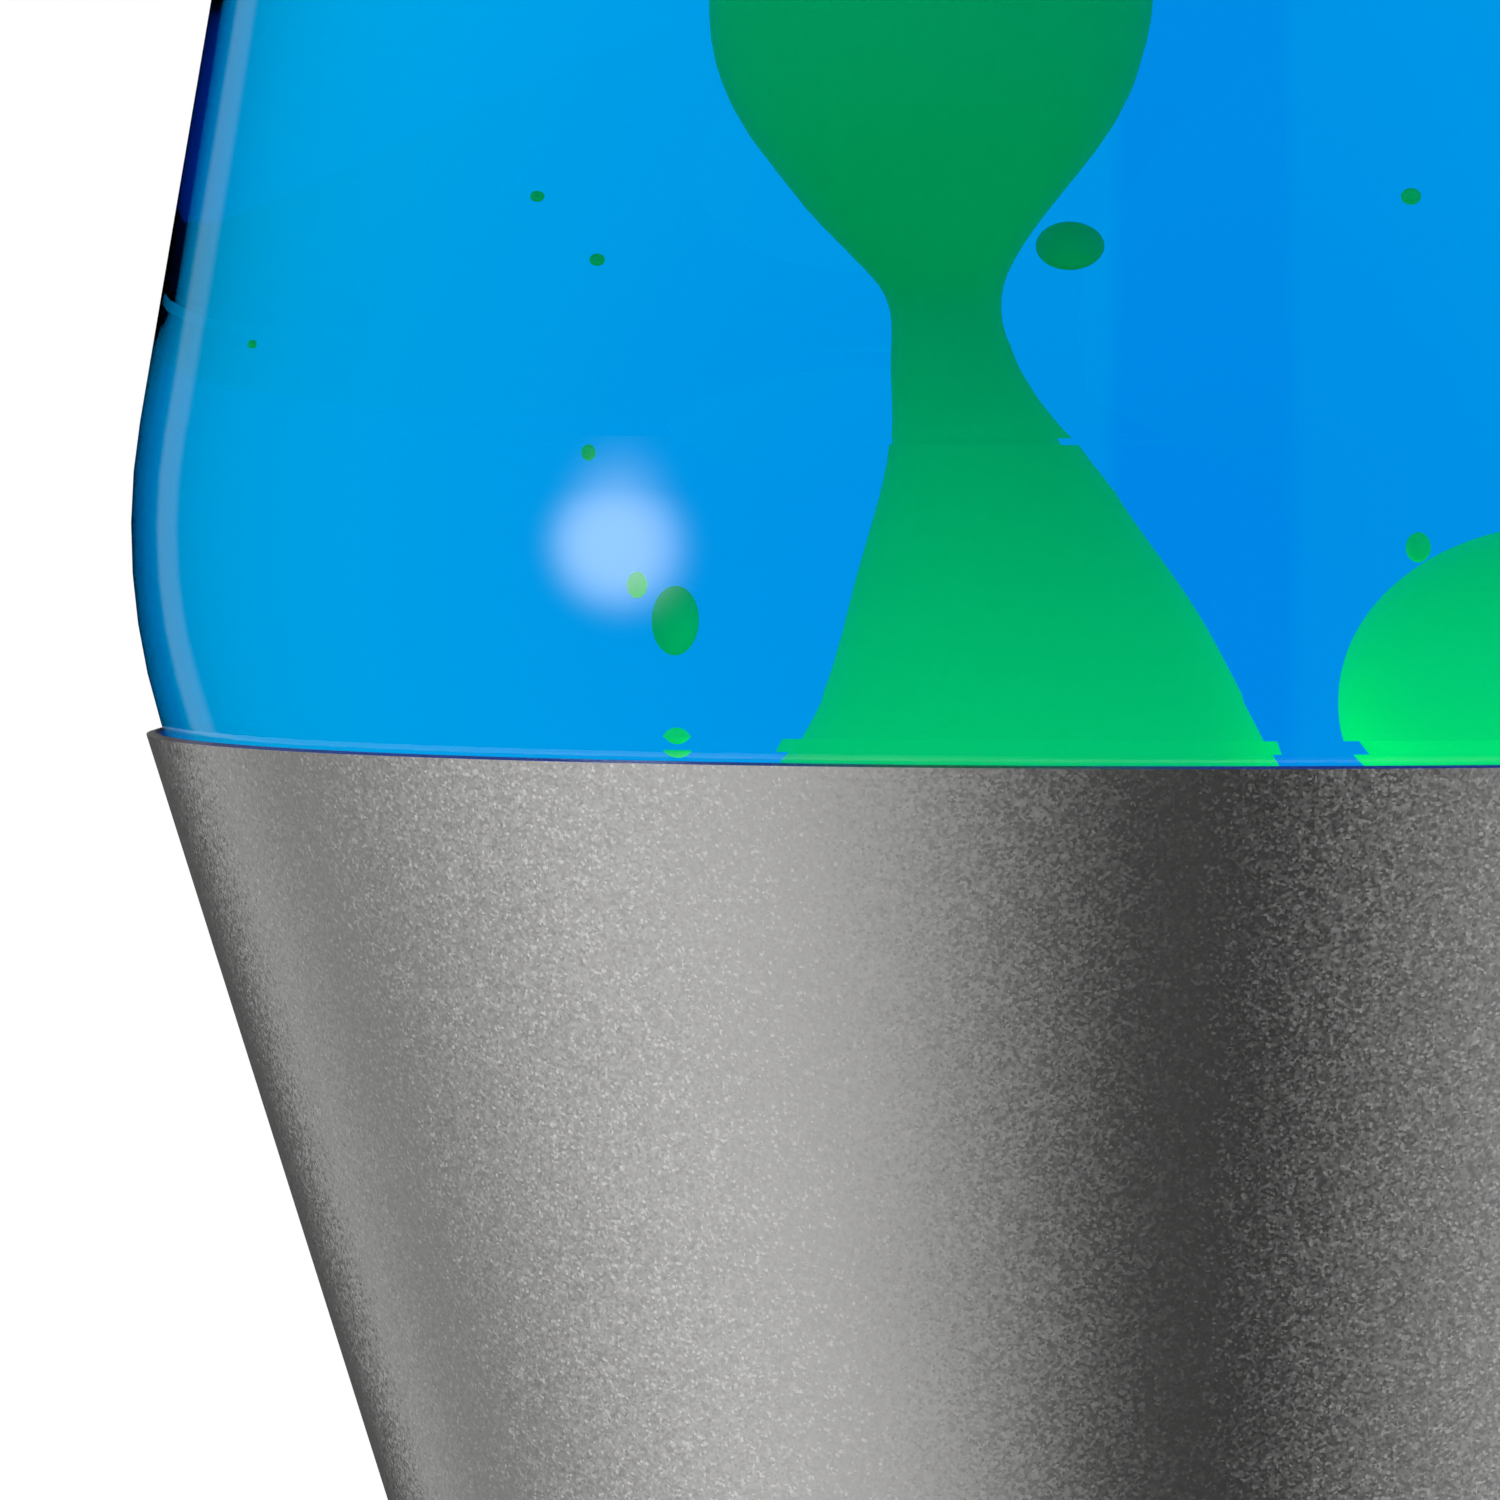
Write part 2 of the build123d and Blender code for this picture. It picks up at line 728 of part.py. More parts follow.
with BuildPart() as top_cap:
    with BuildSketch(Plane.XZ):
        with BuildLine():
            FilletPolyline(
                (cap_bottom_radius, cap_bottom),
                (cap_top_radius, lamp_height),
                (0, lamp_height),
                radius=[cap_top_round],
            )
            offset(amount=shell_wall, side=Side.LEFT)
        make_face()
    revolve(axis=Axis.Z)
    fillet(top_cap.edges().group_by(Axis.Z)[0], edge_round)
export(top_cap, "top_cap")

# ================================================================ wax
inside_bottom = globe_bottom + glass_wall
coil_radius = (heel_ring_radius + heel_radius - glass_wall) / 2
coil_height = coil_pitch * coil_turns
channel_width = 2 * (coil_wire + coil_room)
channel_height = coil_height + 2 * coil_wire + coil_room
with BuildPart() as wire_coil:
    with BuildLine():
        Helix(
            pitch=coil_pitch,
            height=coil_height,
            radius=coil_radius,
            center=(0, 0, inside_bottom + coil_wire),
        )
    with BuildSketch(Plane(origin=(coil_radius, 0, inside_bottom + coil_wire), z_dir=(0, 1, 0))):
        Circle(coil_wire)
    sweep(is_frenet=True)
export(wire_coil, "wire_coil")


def hollow_line():
    """Line just inside the glass, closed across the mouth and down the axis."""
    bottle_line()
    offset(amount=glass_wall + film, side=Side.LEFT, closed=False)
    Polyline(
        (neck_radius - glass_wall - film, finish_top),
        (0, finish_top),
        (0, globe_bottom + punt_height + glass_wall + film),
    )


with BuildPart() as wax_column:
    with BuildSketch(Plane.XZ):
        with BuildLine():
            hollow_line()
        make_face()
        with Locations((0, pool_top)):
            Rectangle(2 * rim_radius, 2 * globe_depth, align=(Align.CENTER, Align.MAX), mode=Mode.INTERSECT)
        with Locations((coil_radius, inside_bottom)):
            Rectangle(channel_width, channel_height, align=(Align.CENTER, Align.MIN), mode=Mode.SUBTRACT)
    revolve(axis=Axis.Z)
    with BuildSketch(Plane.XY.offset(pool_top)):
        with Locations((column_foot[0], 0)):
            Circle(column_foot[1])
    for rise, shift, radius in column_sections:
        with BuildSketch(Plane.XY.offset(rim_height + rise)):
            with Locations((shift, 0)):
                Circle(radius)
    loft()
export(wax_column, "wax_column")

blob_x, blob_y, blob_rise = blob_place


def tall_place(flatness):
    """Where a sphere is drawn so that it lands on the blob's place when pressed flat."""
    return Locations((blob_x, blob_y, (rim_height + blob_rise) / flatness))


blob_flatness = blob_half_height / blob_radius
with BuildPart() as wax_blob:
    with tall_place(blob_flatness):
        Sphere(blob_radius)
    scale(by=(1, 1, blob_flatness))
export(wax_blob, "wax_blob")

with BuildPart() as wax_droplets:
    for x, y, rise, radius in droplets:
        with Locations((x, y, rim_height + rise)):
            Sphere(radius)
export(wax_droplets, "wax_droplets")

space_flatness = (blob_half_height + blob_room) / (blob_radius + blob_room)
with BuildPart() as blob_space:
    with tall_place(space_flatness):
        Sphere(blob_radius + blob_room)
    scale(by=(1, 1, space_flatness))

with BuildPart() as liquid:
    with BuildSketch(Plane.XZ):
        with BuildLine():
            hollow_line()
        make_face()
        with Locations((0, pool_top)):
            Rectangle(
                2 * rim_radius, liquid_top - pool_top, align=(Align.CENTER, Align.MIN), mode=Mode.INTERSECT
            )
    revolve(axis=Axis.Z)
    add(wax_column.part, mode=Mode.SUBTRACT)
    add(wax_droplets.part, mode=Mode.SUBTRACT)
    add(blob_space.part, mode=Mode.SUBTRACT)
export(liquid, "liquid")
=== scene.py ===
from math import cos, pi, radians, sin

import bmesh
import bpy
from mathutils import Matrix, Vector


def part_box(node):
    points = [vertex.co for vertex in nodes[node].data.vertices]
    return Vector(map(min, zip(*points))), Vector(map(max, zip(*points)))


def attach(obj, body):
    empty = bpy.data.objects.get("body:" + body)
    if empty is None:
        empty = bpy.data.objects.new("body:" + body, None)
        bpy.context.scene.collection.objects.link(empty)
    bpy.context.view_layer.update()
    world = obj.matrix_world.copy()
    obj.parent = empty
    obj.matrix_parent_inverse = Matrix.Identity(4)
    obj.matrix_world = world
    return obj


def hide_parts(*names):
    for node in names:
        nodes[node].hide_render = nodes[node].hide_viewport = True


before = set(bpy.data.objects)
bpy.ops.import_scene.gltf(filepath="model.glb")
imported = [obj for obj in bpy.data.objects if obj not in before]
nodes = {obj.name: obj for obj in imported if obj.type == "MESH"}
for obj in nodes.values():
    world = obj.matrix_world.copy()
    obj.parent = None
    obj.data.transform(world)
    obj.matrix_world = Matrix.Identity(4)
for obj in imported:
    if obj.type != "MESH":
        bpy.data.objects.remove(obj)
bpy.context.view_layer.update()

# The lava lamp's looks. Metres, +Z up, the lamp's axis at x = y = 0, its front towards -Y.

scene = bpy.context.scene

# ---------------------------------------------------------------- places, from the frame
rim_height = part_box("base_cup")[1].z

# ---------------------------------------------------------------- the camera's view
camera_distance = 0.8
camera_rise = 0.0263  # above the rim
view_width = 0.0676  # what the frame spans at the lamp's axis
view_shift = -0.0198  # the frame's centre from the axis
view_drop = 0.0009  # the frame's centre below the rim

# ---------------------------------------------------------------- liquid and wax
skin_offset = 0.0001  # the liquid's skin is grown by this, so that it meets the glass
pool_overlap = 0.0004  # the liquid reaches this far into the wax pool
wax_voxel = 0.0006
wax_smoothing = 12
wax_inset = 0.0001
turned_steps = 360
WAX = (0.93, 0.84, 0.15, 1)
WHITE = (1, 1, 1, 1)
BLACK = (0, 0, 0, 1)
LIQUID_CLEAR = (0.0, 0.934, 0.991, 1)
LIQUID_DENSITY = 200.0
GLASS_IOR, LIQUID_IOR, WAX_IOR = 1.5, 1.33, 1.44


# ================================================================ node helpers
def new_material(name):
    """An empty node material and its output node."""
    material = bpy.data.materials.new(name)
    material.use_nodes = True
    tree = material.node_tree
    tree.nodes.clear()
    return material, tree, tree.nodes.new("ShaderNodeOutputMaterial")


def principled(tree, output, **inputs):
    """A Principled shader on the output, with plain values on its sockets."""
    shader = tree.nodes.new("ShaderNodeBsdfPrincipled")
    for name, value in inputs.items():
        shader.inputs[name.replace("_", " ")].default_value = value
    tree.links.new(shader.outputs["BSDF"], output.inputs["Surface"])
    return shader


def math_node(tree, operation, a, b=0.0, c=0.0):
    """One math step; a, b and c are sockets or numbers."""
    node = tree.nodes.new("ShaderNodeMath")
    node.operation = operation
    for socket, value in zip(node.inputs, (a, b, c)):
        if isinstance(value, bpy.types.NodeSocket):
            tree.links.new(value, socket)
        else:
            socket.default_value = value
    return node.outputs[0]


def mix_color(tree, factor, a, b, blend="MIX"):
    """Two colours mixed; each of the three is a socket or a value."""
    node = tree.nodes.new("ShaderNodeMix")
    node.data_type = "RGBA"
    node.blend_type = blend
    for socket, value in ((node.inputs[0], factor), (node.inputs[6], a), (node.inputs[7], b)):
        if isinstance(value, bpy.types.NodeSocket):
            tree.links.new(value, socket)
        else:
            socket.default_value = value
    return node.outputs[2]


def ramp(tree, factor, stops):
    """A colour ramp over (position, grey or colour) stops."""
    node = tree.nodes.new("ShaderNodeValToRGB")
    elements = node.color_ramp.elements
    while len(elements) < len(stops):
        elements.new(0.5)
    for element, (position, value) in zip(elements, stops):
        element.position = position
        element.color = (value, value, value, 1) if isinstance(value, (int, float)) else value
    tree.links.new(factor, node.inputs[0])
    return node.outputs[0]


def object_coords(tree):
    """The piece's own coordinates, in metres."""
    return tree.nodes.new("ShaderNodeTexCoord").outputs["Object"]


def soft_step(tree, value, low, high, at_low=0.0, at_high=1.0):
    """A smooth step between two values."""
    node = tree.nodes.new("ShaderNodeMapRange")
    node.interpolation_type = "SMOOTHSTEP"
    node.inputs["From Min"].default_value = low
    node.inputs["From Max"].default_value = high
    node.inputs["To Min"].default_value = at_low
    node.inputs["To Max"].default_value = at_high
    tree.links.new(value, node.inputs["Value"])
    return node.outputs[0]


def noise(tree, scale, detail, vector=None):
    """Noise value over the piece's own coordinates."""
    node = tree.nodes.new("ShaderNodeTexNoise")
    node.inputs["Scale"].default_value = scale
    node.inputs["Detail"].default_value = detail
    tree.links.new(vector or object_coords(tree), node.inputs["Vector"])
    return node.outputs["Fac"]


def bump(tree, height, strength, distance):
    """Normal from a height."""
    node = tree.nodes.new("ShaderNodeBump")
    node.inputs["Strength"].default_value = strength
    node.inputs["Distance"].default_value = distance
    tree.links.new(height, node.inputs["Height"])
    return node.outputs["Normal"]


# ================================================================ materials
flake_scale = 7500.0  # flakes per metre
flake_tilt = 0.07
flake_tones = ((0.0, 0.49), (0.5, 0.56), (0.86, 0.62), (1.0, 0.84))
paint_roughness = 0.30
PAINT_TINT = (1.0, 0.992, 0.978, 1)
cloud_scale, cloud_share = 90.0, 0.12
cloud_tones = ((0.3, 0.5), (0.7, 0.7))


def silver_paint():
    """Silver metallic lacquer: fine flakes that catch the light one by one."""
    material, tree, output = new_material("silver_paint")
    shader = principled(tree, output, Metallic=1.0, Roughness=paint_roughness)
    coords = object_coords(tree)
    flakes = tree.nodes.new("ShaderNodeTexVoronoi")
    flakes.inputs["Scale"].default_value = flake_scale
    tree.links.new(coords, flakes.inputs["Vector"])
    # each flake's own brightness
    single = tree.nodes.new("ShaderNodeSeparateColor")
    tree.links.new(flakes.outputs["Color"], single.inputs[0])
    tone = ramp(tree, single.outputs[0], flake_tones)
    cloud = noise(tree, cloud_scale, 3.0, coords)
    tone = mix_color(tree, cloud_share, tone, ramp(tree, cloud, cloud_tones))
    tint = mix_color(tree, 1.0, tone, PAINT_TINT, "MULTIPLY")
    tree.links.new(tint, shader.inputs["Base Color"])
    # each flake's own tilt
    centred = tree.nodes.new("ShaderNodeVectorMath")
    centred.operation = "SUBTRACT"
    centred.inputs[1].default_value = (0.5, 0.5, 0.5)
    tree.links.new(flakes.outputs["Color"], centred.inputs[0])
    scaled = tree.nodes.new("ShaderNodeVectorMath")
    scaled.operation = "SCALE"
    scaled.inputs["Scale"].default_value = flake_tilt * 2
    tree.links.new(centred.outputs[0], scaled.inputs[0])
    surface = tree.nodes.new("ShaderNodeNewGeometry")
    tilted = tree.nodes.new("ShaderNodeVectorMath")
    tree.links.new(surface.outputs["Normal"], tilted.inputs[0])
    tree.links.new(scaled.outputs[0], tilted.inputs[1])
    unit = tree.nodes.new("ShaderNodeVectorMath")
    unit.operation = "NORMALIZE"
    tree.links.new(tilted.outputs[0], unit.inputs[0])
    tree.links.new(unit.outputs[0], shader.inputs["Normal"])
    return material


metal_shade, metal_marks = 0.8, (0.25, 0.00004)  # darkest tone's share; strength and depth of the marks
moulded_light, moulded_marks = 1.25, (0.3, 0.00005)


def metal(name, color, roughness, scale=900.0):
    """Plain worked metal with fine marks."""
    material, tree, output = new_material(name)
    shader = principled(tree, output, Metallic=1.0, Roughness=roughness)
    grain = noise(tree, scale, 4.0)
    dark = tuple(metal_shade * c for c in color) + (1,)
    tree.links.new(mix_color(tree, grain, dark, (*color, 1)), shader.inputs["Base Color"])
    tree.links.new(bump(tree, grain, *metal_marks), shader.inputs["Normal"])
    return material


def dull(name, color, roughness, scale=1500.0):
    """Moulded plastic or rubber."""
    material, tree, output = new_material(name)
    shader = principled(tree, output, Roughness=roughness)
    grain = noise(tree, scale, 3.0)
    light = tuple(min(1, moulded_light * c) for c in color) + (1,)
    tree.links.new(mix_color(tree, grain, (*color, 1), light), shader.inputs["Base Color"])
    tree.links.new(bump(tree, grain, *moulded_marks), shader.inputs["Normal"])
    return material


def clear_glass(name):
    """Smooth clear glass."""
    material, tree, output = new_material(name)
    principled(tree, output, Base_Color=WHITE, Roughness=0.0, IOR=GLASS_IOR, Transmission_Weight=1.0)
    return material


PAINTED_EDGE_SHADE = (0.25, 0.62, 0.92, 1)  # painted shade: the glass tinted blue where it is seen at a slant, standing in for the globe's dark outline
edge_from, edge_to = 0.77, 0.81


def bottle_glass():
    """Clear glass, with painted blue shade at its outline. Its inner face is wet, so only the outer one
    shines.
    """
    material = clear_glass("globe_glass")
    tree = material.node_tree
    shader = next(node for node in tree.nodes if node.type == "BSDF_PRINCIPLED")
    surface = tree.nodes.new("ShaderNodeNewGeometry")
    outward = tree.nodes.new("ShaderNodeVectorMath")
    outward.operation = "MULTIPLY"
    outward.inputs[1].default_value = (1, 1, 0)
    tree.links.new(object_coords(tree), outward.inputs[0])
    facing = tree.nodes.new("ShaderNodeVectorMath")
    facing.operation = "DOT_PRODUCT"
    tree.links.new(surface.outputs["True Normal"], facing.inputs[0])
    tree.links.new(outward.outputs[0], facing.inputs[1])
    out_side = math_node(tree, "GREATER_THAN", facing.outputs["Value"], 0.0)
    seen_from_behind = surface.outputs["Backfacing"]
    shine = math_node(tree, "ABSOLUTE", math_node(tree, "SUBTRACT", out_side, seen_from_behind))
    tree.links.new(shine, shader.inputs["Specular Tint"])
    # painted shade: how slanting the surface is to the eye turns the glass's colour blue at the outline
    slant = tree.nodes.new("ShaderNodeLayerWeight")
    slant.inputs["Blend"].default_value = 0.5
    painted_edge_share = ramp(tree, slant.outputs["Facing"], ((edge_from, 0.0), (edge_to, 1.0)))
    edge = mix_color(tree, painted_edge_share, WHITE, PAINTED_EDGE_SHADE)
    tree.links.new(edge, shader.inputs["Base Color"])
    return material


def liquid_material():
    """Blue dyed water: it takes out red at once and a little green."""
    material, tree, output = new_material("blue_liquid")
    principled(tree, output, Base_Color=WHITE, Roughness=0.0, IOR=LIQUID_IOR, Transmission_Weight=1.0,
               Specular_Tint=BLACK)
    volume = tree.nodes.new("ShaderNodeVolumeAbsorption")
    volume.inputs["Color"].default_value = LIQUID_CLEAR
    volume.inputs["Density"].default_value = LIQUID_DENSITY
    tree.links.new(volume.outputs[0], output.inputs["Volume"])
    return material


glow_low = rim_height - 0.005  # below this the painted glow, standing in for the bulb's light, is strongest
glow_high = rim_height + 0.019  # above this the painted glow is weakest
glow_most, glow_least = 1.10, 0.33
wax_roughness, wax_shade, wax_cloud = 0.45, 0.9, 60.0
blob_share = 1.28  # the free blob gets more painted glow than the column


def wax_material(name, share=1.0):
    """Yellow wax; the bulb's light from below is painted on as emission, brightest low down."""
    material, tree, output = new_material(name)
    shader = principled(tree, output, Roughness=wax_roughness, IOR=WAX_IOR)
    place = tree.nodes.new("ShaderNodeSeparateXYZ")
    tree.links.new(object_coords(tree), place.inputs[0])
    # painted light: emission by height stands in for the bulb lighting the wax from below
    painted_glow = soft_step(tree, place.outputs["Z"], glow_low, glow_high, share * glow_most, share * glow_least)
    cloud = noise(tree, wax_cloud, 3.0)
    tone = mix_color(tree, cloud, tuple(wax_shade * c for c in WAX[:3]) + (1,), WAX)
    tree.links.new(tone, shader.inputs["Base Color"])
    tree.links.new(tone, shader.inputs["Emission Color"])
    tree.links.new(painted_glow, shader.inputs["Emission Strength"])
    return material


FILAMENT_GLOW = (1, 0.62, 0.25, 1)


def filament_material():
    """Glowing tungsten."""
    material, tree, output = new_material("filament")
    principled(tree, output, Metallic=1.0, Roughness=0.5, Emission_Color=FILAMENT_GLOW, Emission_Strength=6.0)
    return material


paint = silver_paint()
bright_steel = metal("bright_steel", (0.6, 0.6, 0.6), 0.3)
zinc = metal("zinc_plate", (0.66, 0.66, 0.64), 0.42, 400.0)
brass = metal("brass", (0.78, 0.6, 0.28), 0.3)
cap_metal = metal("bulb_metal", (0.8, 0.78, 0.72), 0.35)
crown_metal = metal("crown_tinplate", (0.72, 0.7, 0.66), 0.25)
rubber = dull("black_rubber", (0.02, 0.02, 0.02), 0.7)
phenolic = dull("phenolic", (0.035, 0.022, 0.016), 0.4)
liner = dull("liner", (0.75, 0.74, 0.7), 0.6)
glass = bottle_glass()
lamp_glass = clear_glass("bulb_glass")
blue = liquid_material()
wax = wax_material("yellow_wax")
# a copy of the wax with stronger painted glow, for the free blob
wax_painted_brighter = wax_material("wax_painted_brighter", blob_share)
glowing = filament_material()

node_materials = {
    paint: ["base_cup", "base_foot", "top_cap"],
    bright_steel: ["waist_rivets", "bracket_rivets", "base_plate_screws", "lock_washer", "wire_coil"],
    zinc: ["base_plate", "lampholder_bracket", "threaded_nipple", "nipple_locknut"],
    brass: ["lampholder_screw_shell", "lampholder_contact", "terminal_screws"],
    cap_metal: ["bulb_cap", "bulb_contact", "bulb_lead_wires"],
    crown_metal: ["crown_cap"],
    rubber: ["rubber_feet", "cord_grommet"],
    phenolic: ["lampholder_body", "bulb_insulator"],
    liner: ["crown_liner"],
    glass: ["globe_glass"],
    lamp_glass: ["bulb_glass", "bulb_stem"],
    glowing: ["bulb_filament"],
}


def dress(obj, material):
    """Give a piece one material."""
    obj.data.materials.clear()
    obj.data.materials.append(material)


for material, names in node_materials.items():
    for name in names:
        dress(nodes[name], material)


# ================================================================ pieces
def add_piece(name, mesh, body, material, replaced):
    """A smooth-shaded piece on a body, standing for CAD nodes."""
    piece = bpy.data.objects.new(name, mesh)
    scene.collection.objects.link(piece)
    mesh.shade_smooth()
    dress(piece, material)
    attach(piece, body)
    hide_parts(*replaced)


def turned(name, outline):
    """A mesh turned round the Z axis from (radius, height) points, closed at the axis."""
    shape = bmesh.new()
    rings = []
    for radius, height in outline:
        if radius == 0:
            rings.append([shape.verts.new((0, 0, height))])
            continue
        ring = []
        for step in range(turned_steps):
            angle = 2 * pi * step / turned_steps
            ring.append(shape.verts.new((radius * cos(angle), radius * sin(angle), height)))
        rings.append(ring)
    for lower, upper in zip(rings, rings[1:]):
        for step in range(turned_steps):
            after = (step + 1) % turned_steps
            if len(lower) == 1:
                shape.faces.new((lower[0], upper[after], upper[step]))
            elif len(upper) == 1:
                shape.faces.new((lower[step], lower[after], upper[0]))
            else:
                shape.faces.new((lower[step], lower[after], upper[after], upper[step]))
    bmesh.ops.recalc_face_normals(shape, faces=shape.faces)
    mesh = bpy.data.meshes.new(name)
    shape.to_mesh(mesh)
    shape.free()
    return mesh


def outer_outline(node):
    """The outer outline (radius, height) of a turned CAD node whose outside is convex, bottom to top."""
    points = sorted({(v.co.z, (v.co.x ** 2 + v.co.y ** 2) ** 0.5) for v in nodes[node].data.vertices})
    hull = []
    for z, r in points:
        while len(hull) > 1:
            (z1, r1), (z2, r2) = hull[-2:]
            if (z2 - z1) * (r - r1) - (r2 - r1) * (z - z1) < 0:
                break
            hull.pop()
        hull.append((z, r))
    return [(r, z) for z, r in hull]


def remade(node, voxel, smoothing, inward):
    """A smooth mesh grown over a CAD node's own shape."""
    helper = bpy.data.objects.new("helper", nodes[node].data.copy())
    scene.collection.objects.link(helper)
    remesh = helper.modifiers.new("remesh", "REMESH")
    remesh.mode = "VOXEL"
    remesh.voxel_size = voxel
    smooth = helper.modifiers.new("smooth", "SMOOTH")
    smooth.iterations = smoothing
    smooth.factor = 0.5
    shrink = helper.modifiers.new("shrink", "DISPLACE")
    shrink.strength = -inward
    shrink.mid_level = 0
    mesh = bpy.data.meshes.new_from_object(helper.evaluated_get(bpy.context.evaluated_depsgraph_get()))
    bpy.data.objects.remove(helper)
    return mesh


# the liquid fills the glass, and the wax lies in it
side = [(r + skin_offset, z) for r, z in outer_outline("liquid")]
bottom = side[0][1] - pool_overlap
side[0] = (side[0][0], bottom)
liquid_outline = [(0, bottom)] + side + [(0, side[-1][1])]
liquid_mesh = turned("liquid_body", liquid_outline)
wax_mesh = remade("wax_column", wax_voxel, wax_smoothing, wax_inset)
add_piece("liquid_body", liquid_mesh, "globe", blue, ["liquid"])
add_piece("wax_body", wax_mesh, "globe", wax, ["wax_column"])
dress(nodes["wax_blob"], wax_painted_brighter)
dress(nodes["wax_droplets"], wax)

# ================================================================ floor and light
floor_size = 40.0
floor_grey = 0.86
fade_from, fade_to = 0.15, 0.9  # the floor turns into the white backdrop over this distance
bpy.ops.mesh.primitive_plane_add(size=floor_size)
floor = bpy.context.object
floor.name = "floor"
floor.visible_glossy = False
floor.visible_transmission = False
material, tree, output = new_material("floor")
shader = principled(tree, output, Roughness=0.9, Base_Color=(floor_grey, floor_grey, floor_grey, 1))
place = tree.nodes.new("ShaderNodeVectorMath")
place.operation = "LENGTH"
tree.links.new(object_coords(tree), place.inputs[0])
far = soft_step(tree, place.outputs["Value"], fade_from, fade_to)
white = tree.nodes.new("ShaderNodeEmission")
blend = tree.nodes.new("ShaderNodeMixShader")
tree.links.new(far, blend.inputs[0])
tree.links.new(shader.outputs[0], blend.inputs[1])
tree.links.new(white.outputs[0], blend.inputs[2])
tree.links.new(blend.outputs[0], output.inputs["Surface"])
dress(floor, material)

# ================================================================ the studio
# Angles are in degrees, turned to the left of the camera.
paint_gloss = 0.60  # what the paint sends back of the light that meets it
# light round the lamp, as the paint mirrors it: a long soft box on the left, a weaker one on the
# right, dark card between them and behind
SIDE_LIGHT = (
    (-180, 0.0), (-156, 0.02), (-144, 0.38), (-125, 0.17), (-72, 0.40), (-37, 0.21), (-22, 0.12), (-10, 0.02),
    (4, 0.0), (12, 0.02), (23, 0.14), (42, 0.38), (55, 0.47), (68, 0.51), (84, 0.44), (105, 0.28),
    (122, 0.155), (133, 0.19), (142, 0.42), (149, 0.24), (154, 0.0), (180, 0.0),
)
ambient = 0.9
top_from, top_to, top_light = 28, 45, 1.6  # a big soft box overhead
spot_turn, spot_rise = 65.3, -0.7
spot_wide, spot_high, spot_light = 7.6, 8.8, 7.0
strip_from, strip_to, strip_soft, strip_light = 143.0, 154.0, 3.0, 0.22
card_from, card_to, card_soft = 3.6, -1.4, 0.7  # behind the lamp, right of straight ahead is plus
card_tail, tail_share = -12.0, 0.3
CARD_SHADE = (1.0, 0.86, 1.0, 1)
INNER_SHADE = (0.0, 0.16, 0.5, 1)  # what light turned back inside the glass brings with it


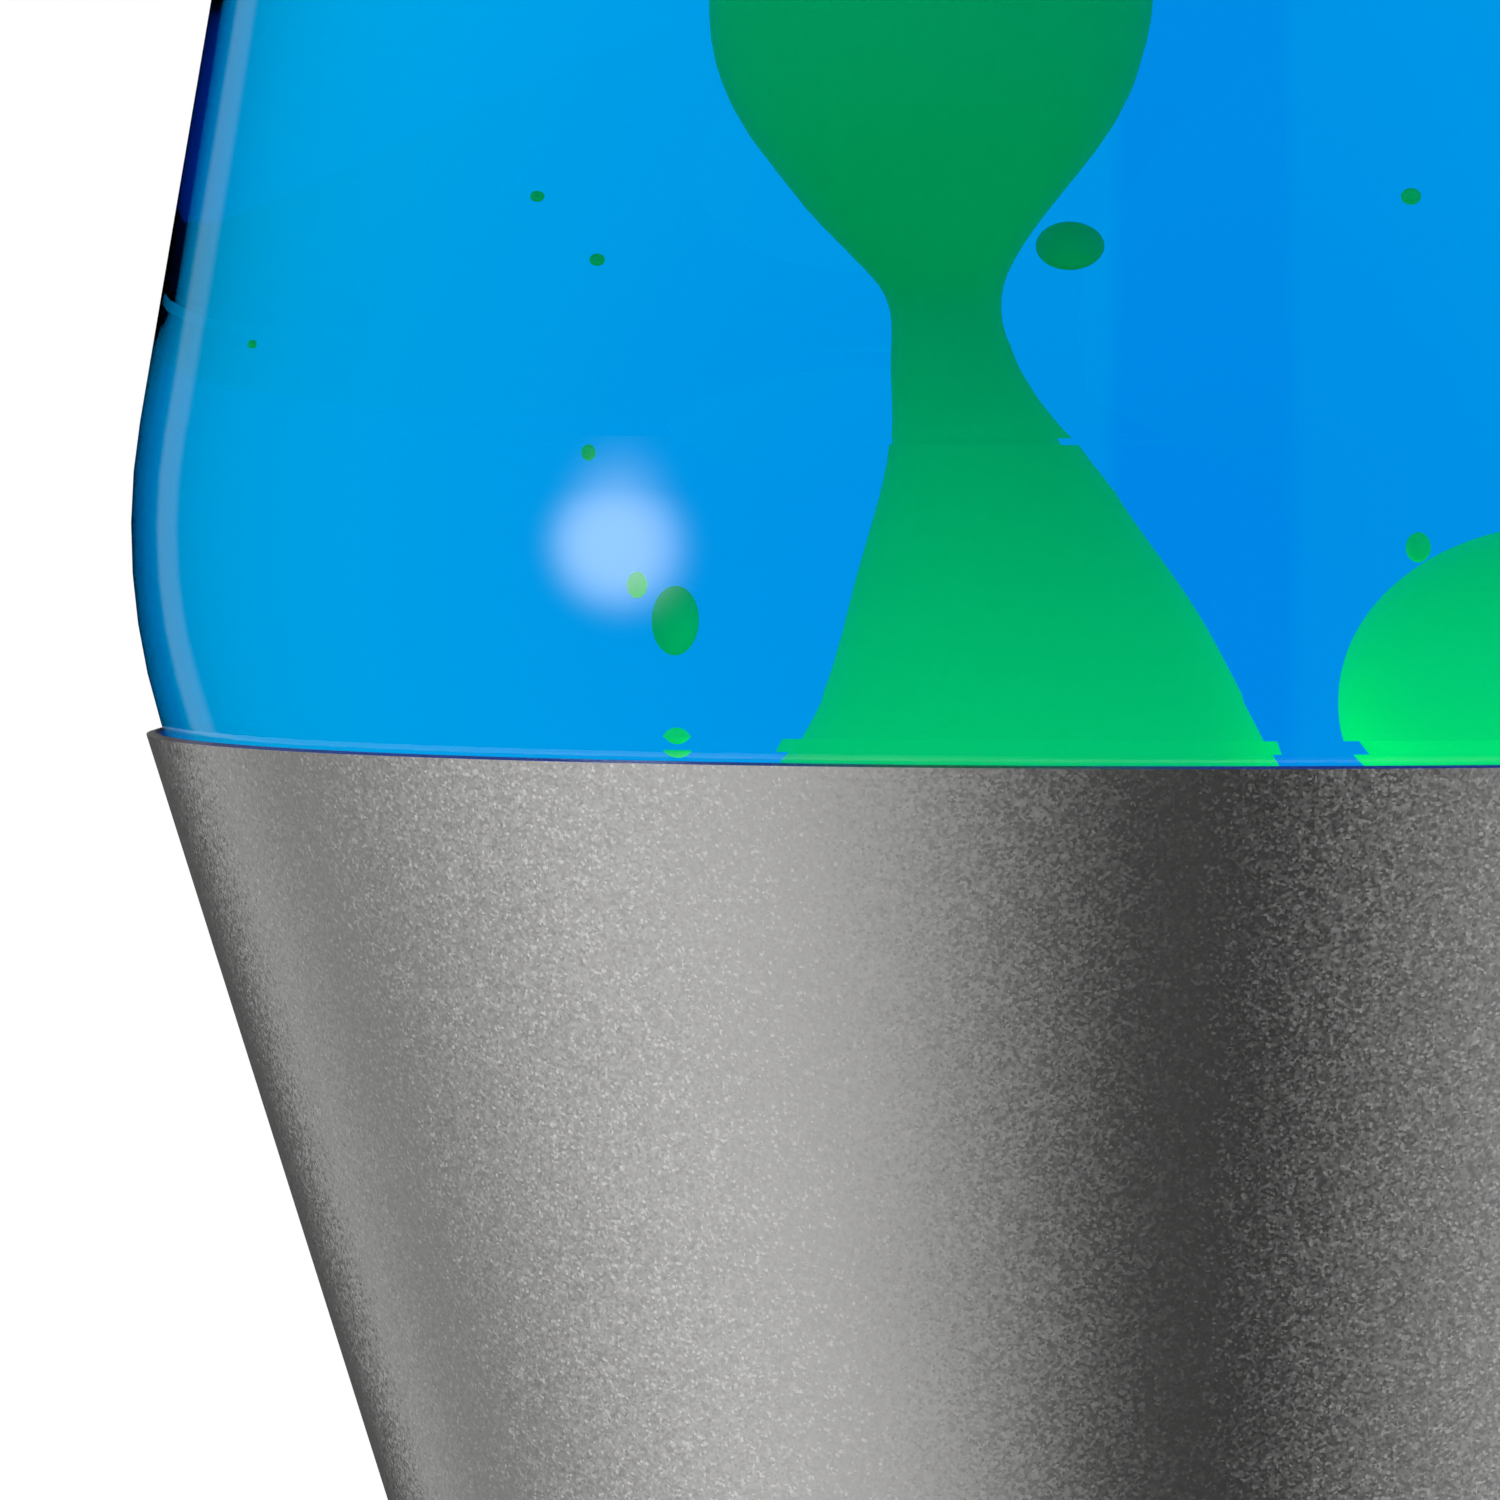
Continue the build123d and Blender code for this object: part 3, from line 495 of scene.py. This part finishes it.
def build_world():
    """A white backdrop for the eye and through glass, and a dark studio with soft boxes to mirror."""
    world = bpy.data.worlds.new("studio")
    scene.world = world
    world.use_nodes = True
    tree = world.node_tree
    tree.nodes.clear()
    output = tree.nodes.new("ShaderNodeOutputWorld")
    coords = tree.nodes.new("ShaderNodeTexCoord")
    split = tree.nodes.new("ShaderNodeSeparateXYZ")
    tree.links.new(coords.outputs["Generated"], split.inputs[0])
    x, y, z = split.outputs

    def times(a, b):
        return math_node(tree, "MULTIPLY", a, b)

    def degrees_step(value, low, high):
        return soft_step(tree, value, radians(low), radians(high))

    def off(angle, middle, half):
        """How far an angle is from a light's middle, in halves of the light's size, squared."""
        share = math_node(tree, "DIVIDE", math_node(tree, "SUBTRACT", angle, radians(middle)), radians(half))
        return times(share, share)

    left = math_node(tree, "ARCTAN2", times(x, -1.0), times(y, -1.0))
    elevation = math_node(tree, "ARCSINE", z)

    # broad light round the lamp, and overhead
    turn = math_node(tree, "MULTIPLY_ADD", left, 0.5 / pi, 0.5)
    stops = [((angle + 180) / 360, light / paint_gloss) for angle, light in SIDE_LIGHT]
    side_light = ramp(tree, turn, stops)
    above = times(degrees_step(elevation, top_from, top_to), top_light)

    # a round soft light on the left, level with the globe
    sideways = off(left, spot_turn, spot_wide)
    distance = math_node(tree, "ADD", sideways, off(elevation, spot_rise, spot_high))
    fall = times(times(distance, distance), -1.0)
    spot = times(math_node(tree, "EXPONENT", fall), spot_light)

    # an upright strip behind on either side
    around = math_node(tree, "ABSOLUTE", left)
    strip_in = degrees_step(around, strip_from, strip_from + strip_soft)
    strip_out = degrees_step(around, strip_to, strip_to - strip_soft)
    strip = times(times(strip_in, strip_out), strip_light)
    small_lights = math_node(tree, "ADD", spot, strip)

    # the rough paint mirrors the broad light, and clear glass the small ones
    path = tree.nodes.new("ShaderNodeLightPath")
    sharp = path.outputs["Is Singular Ray"]
    rough = math_node(tree, "SUBTRACT", 1.0, sharp)
    level = math_node(tree, "ADD", times(side_light, rough), times(small_lights, sharp))
    glossy = math_node(tree, "ADD", level, above)

    # through the globe: white, with a tinted card standing in the middle
    heading = math_node(tree, "ARCTAN2", x, y)
    card_in = degrees_step(heading, card_from, card_from - card_soft)
    card_out = degrees_step(heading, card_to, card_to + card_soft)
    tail = degrees_step(heading, card_tail, card_to)
    depth = math_node(tree, "MULTIPLY_ADD", card_out, 1 - tail_share, times(tail, tail_share))
    through = mix_color(tree, times(card_in, depth), WHITE, CARD_SHADE)

    mirrored = math_node(tree, "GREATER_THAN", path.outputs["Glossy Depth"], 0.5)
    went_in = math_node(tree, "GREATER_THAN", path.outputs["Transmission Depth"], 0.5)
    color = mix_color(tree, mirrored, through, glossy)
    color = mix_color(tree, times(mirrored, went_in), color, INNER_SHADE)
    color = mix_color(tree, path.outputs["Is Diffuse Ray"], color, (ambient, ambient, ambient, 1))
    color = mix_color(tree, path.outputs["Is Camera Ray"], color, WHITE)
    light = tree.nodes.new("ShaderNodeBackground")
    tree.links.new(color, light.inputs["Color"])
    tree.links.new(light.outputs[0], output.inputs["Surface"])


build_world()

# ================================================================ camera
camera = bpy.data.objects.new("camera", bpy.data.cameras.new("camera"))
scene.collection.objects.link(camera)
scene.camera = camera
camera.location = (view_shift, -camera_distance, rim_height + camera_rise)
aim = Vector((view_shift, 0, rim_height - view_drop))
camera.rotation_euler = (aim - camera.location).to_track_quat("-Z", "Y").to_euler()
camera.data.sensor_width = 36.0  # millimetres
camera.data.lens = camera.data.sensor_width * camera_distance / view_width
camera.data.clip_start = 0.01
camera.data.clip_end = 200.0

scene.view_settings.view_transform = "Standard"
